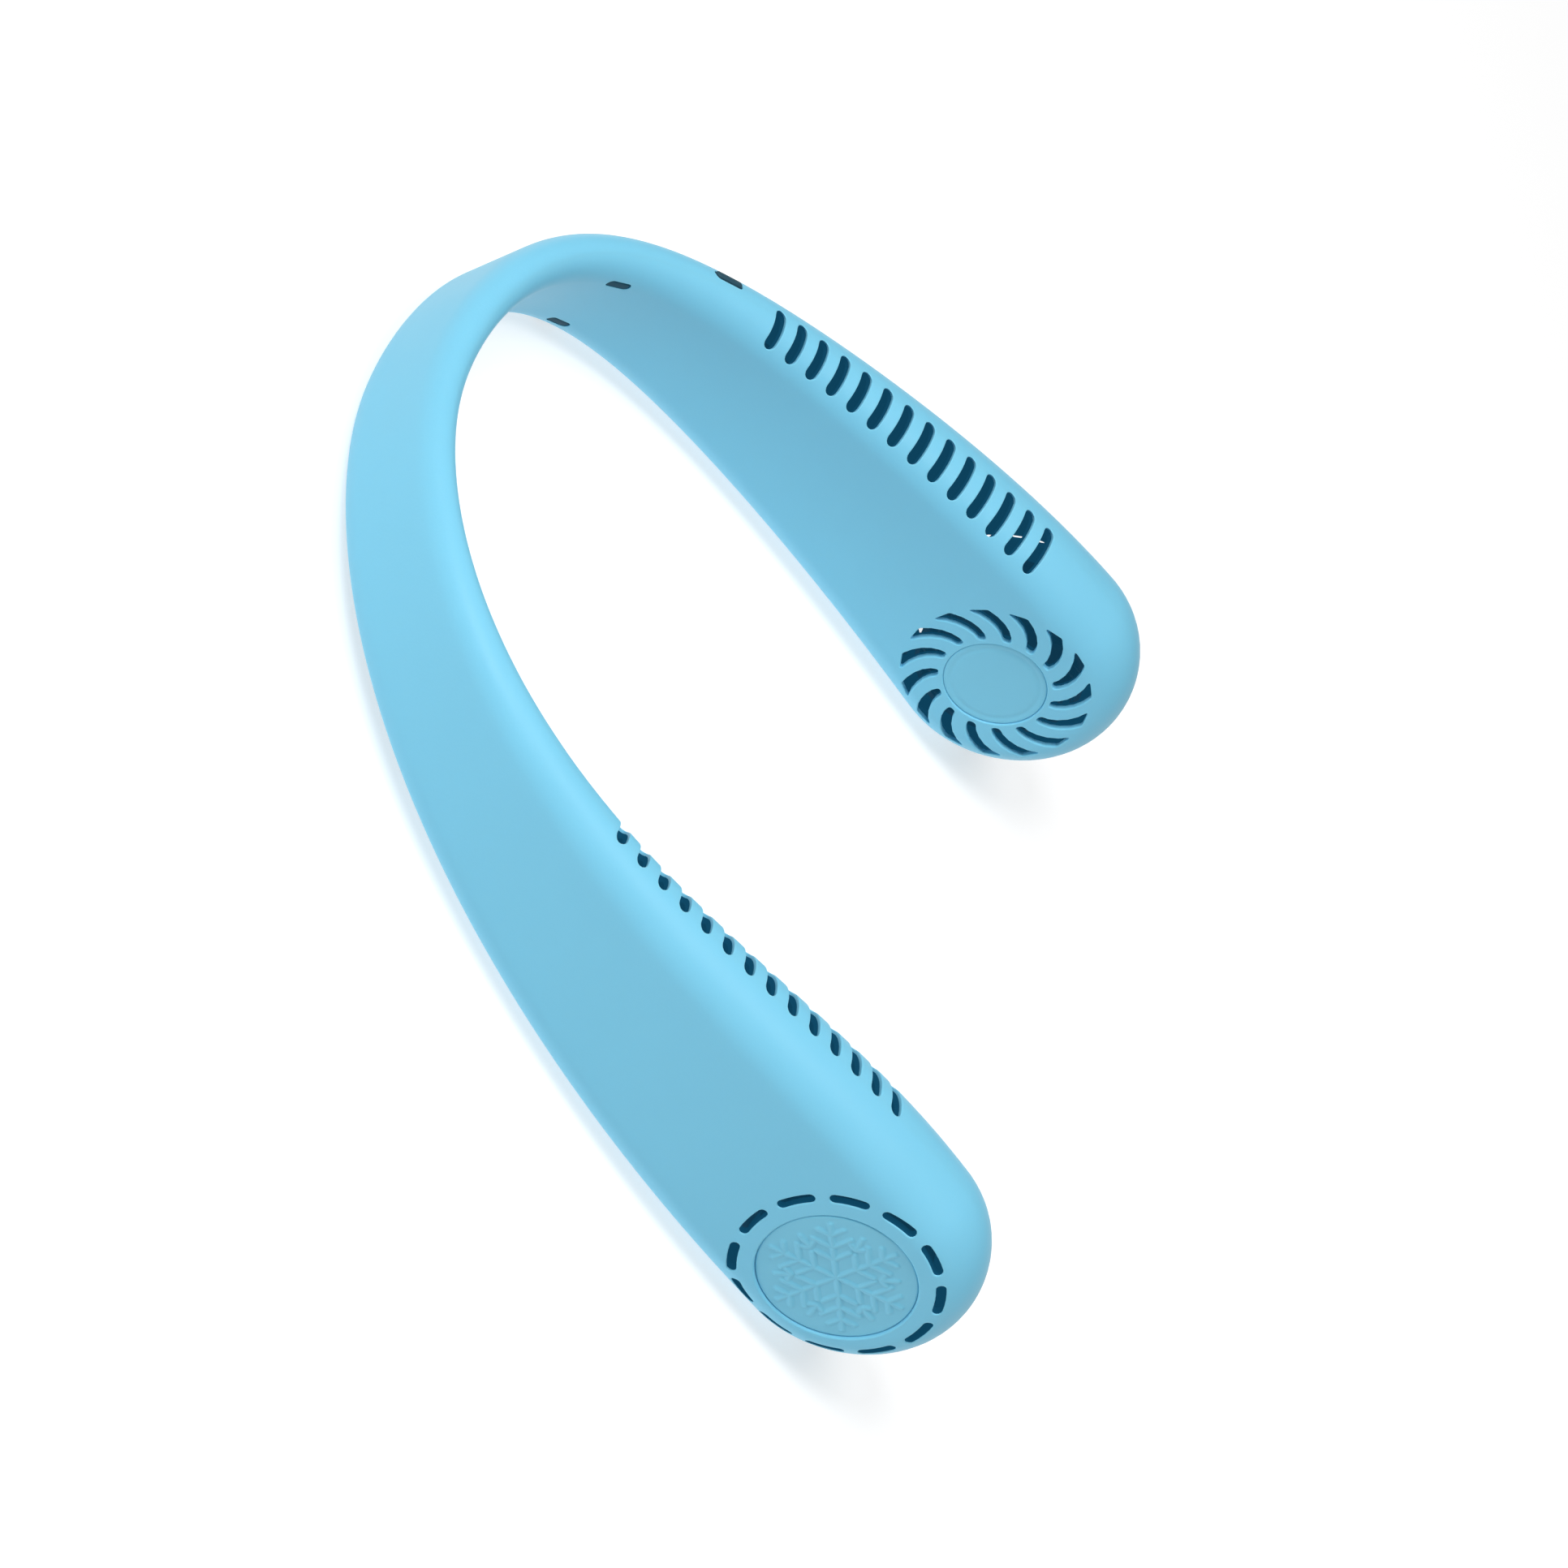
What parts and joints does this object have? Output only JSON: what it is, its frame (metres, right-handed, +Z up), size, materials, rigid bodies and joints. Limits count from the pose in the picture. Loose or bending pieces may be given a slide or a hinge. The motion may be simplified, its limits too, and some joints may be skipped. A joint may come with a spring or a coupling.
{
  "type": "neck fan",
  "caption": "U-shaped bladeless neck fan: hollow tapering band with a fan in each round paddle end, spiral intakes and rows of air outlets along the arms.",
  "frame": {"origin": "middle of the footprint, on the surface that the band stands on", "axes": "+X to the wearer's left arm, +Y to the nape, +Z up towards the air outlets; the paddles point to -Y"},
  "size_m": [0.2144, 0.203, 0.0554],
  "materials": {
    "bearing_brass": "sintered bronze",
    "board": "green glass-epoxy circuit board",
    "cable_jacket": "black wire jacket",
    "cell_wrap": "aluminium laminate pouch",
    "core": "laminated silicon steel",
    "dark_plastic": "dark moulded plastic",
    "disc_plastic": "satin moulded ABS, light blue",
    "duct_plastic": "grey moulded plastic",
    "magnet": "bonded ferrite magnet, black",
    "shell_plastic": "satin moulded ABS, light sky blue",
    "smoked_window": "dark smoked window",
    "steel": "bright steel",
    "wheel_plastic": "glass-filled nylon, dark grey",
    "winding": "enamelled copper wire"
  },
  "bodies": {
    "casing": {"outer_shell": "shell_plastic", "inner_shell": "shell_plastic", "snowflake_disc_right": "disc_plastic", "snowflake_disc_left": "disc_plastic", "hub_disc_right": "disc_plastic", "hub_disc_left": "disc_plastic", "bearing_right": "bearing_brass", "bearing_left": "bearing_brass", "motor_base_right": "dark_plastic", "motor_base_left": "dark_plastic", "stator_right": "core", "stator_left": "core", "coils_right": "winding", "coils_left": "winding", "motor_screws": "steel", "air_guide_right": "duct_plastic", "air_guide_left": "duct_plastic", "battery_right": "cell_wrap", "battery_left": "cell_wrap", "control_board": "board", "board_screws": "steel", "usb_c_socket": "steel", "button_switch": "dark_plastic", "status_light": "smoked_window", "charge_light": "smoked_window", "nape_cable": "cable_jacket", "cell_lead": "cable_jacket"},
    "impeller_left": {"impeller_left": "wheel_plastic", "rotor_cup_left": "steel", "magnet_ring_left": "magnet", "shaft_left": "steel"},
    "impeller_right": {"impeller_right": "wheel_plastic", "rotor_cup_right": "steel", "magnet_ring_right": "magnet", "shaft_right": "steel"},
    "power_button": {"power_button": "dark_plastic", "switch_plunger": "steel"}
  },
  "joints": [
    {"name": "impeller_left_spin", "type": "hinge", "parent": "casing", "child": "impeller_left", "pos_m": [0.0934, -0.0727, 0.0261], "axis": [1, 0, 0], "continuous": true},
    {"name": "impeller_right_spin", "type": "hinge", "parent": "casing", "child": "impeller_right", "pos_m": [-0.0934, -0.0727, 0.0261], "axis": [-1, 0, 0], "continuous": true},
    {"name": "power_button_press", "type": "slide", "parent": "casing", "child": "power_button", "axis": [-0.3056, -0.268, -0.9137], "range_m": [0, 0.0005], "stiffness_N_per_m": 500, "springref_m": -0.0006}
  ]
}
